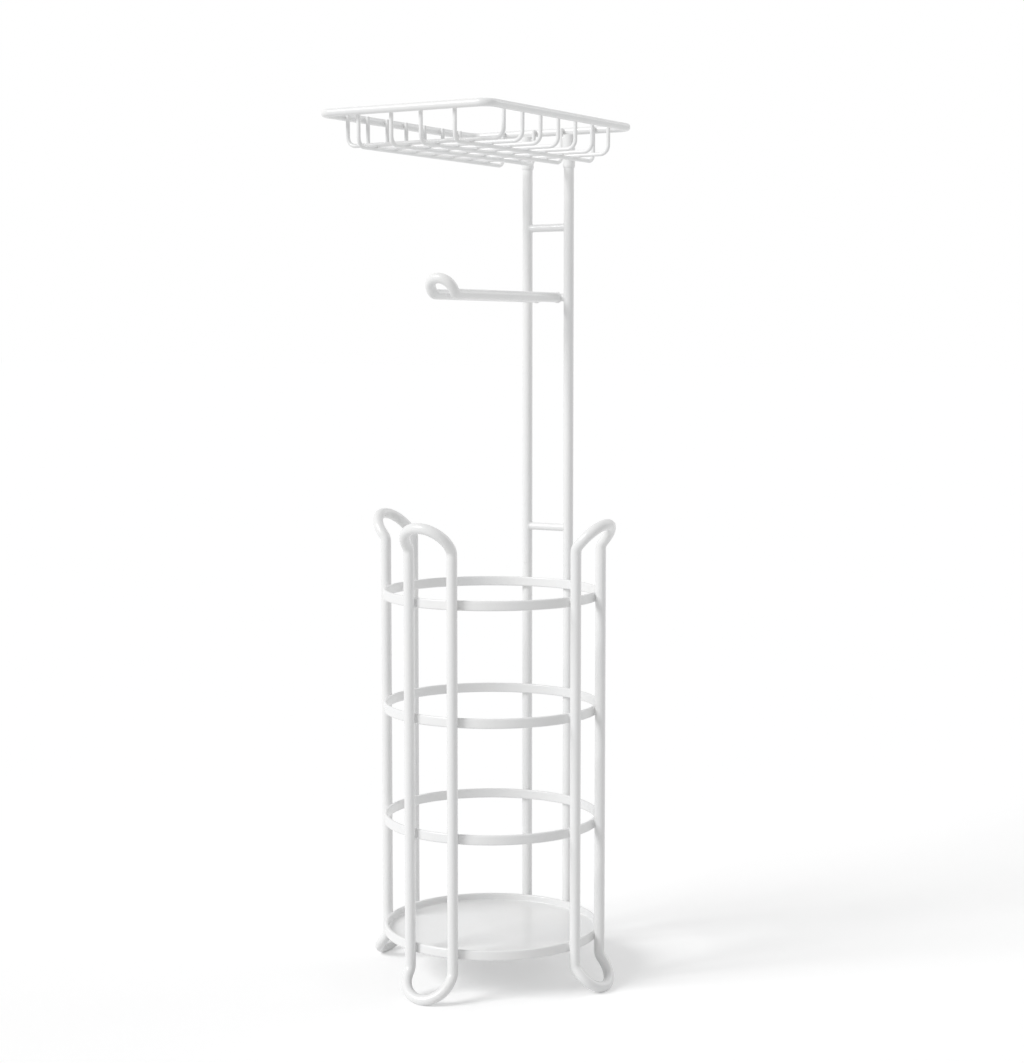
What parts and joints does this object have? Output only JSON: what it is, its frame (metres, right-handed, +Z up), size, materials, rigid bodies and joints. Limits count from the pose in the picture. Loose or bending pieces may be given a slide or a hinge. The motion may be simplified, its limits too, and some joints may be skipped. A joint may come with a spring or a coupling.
{
  "type": "toilet roll storage holder",
  "caption": "Free-standing white metal toilet roll holder: round storage cage on hairpin legs, rear mast with a forward roll arm, and a wire basket on top.",
  "frame": {"origin": "on the floor, under the middle of the holder's outer box; the cage's axis stands 9.1 mm behind it", "axes": "+Z up; -Y is the front, the way the roll arm points; +X is on the right when looking at the front along +Y"},
  "size_m": [0.2206, 0.2388, 0.6943],
  "materials": {
    "white_coat": "smooth satin powder coat",
    "plain_steel": "bare drawn steel"
  },
  "bodies": {
    "root": {"arm_rung": "white_coat", "base_hoop": "white_coat", "base_plate": "white_coat", "basket_rim": "white_coat", "basket_socket_left": "white_coat", "basket_socket_right": "white_coat", "cross_wire_1": "white_coat", "cross_wire_2": "white_coat", "cross_wire_3": "white_coat", "cross_wire_4": "white_coat", "cross_wire_5": "white_coat", "cross_wire_6": "white_coat", "cross_wire_7": "white_coat", "front_leg": "white_coat", "left_leg": "white_coat", "long_wire_1": "white_coat", "long_wire_2": "white_coat", "long_wire_3": "white_coat", "long_wire_4": "white_coat", "lower_hoop": "white_coat", "lower_rung": "white_coat", "mast_spigot_left": "plain_steel", "mast_spigot_right": "plain_steel", "mast_tube_left": "white_coat", "mast_tube_right": "white_coat", "rear_leg": "white_coat", "right_leg": "white_coat", "roll_arm": "white_coat", "top_hoop": "white_coat", "upper_hoop": "white_coat", "upper_rung": "white_coat"}
  },
  "joints": []
}
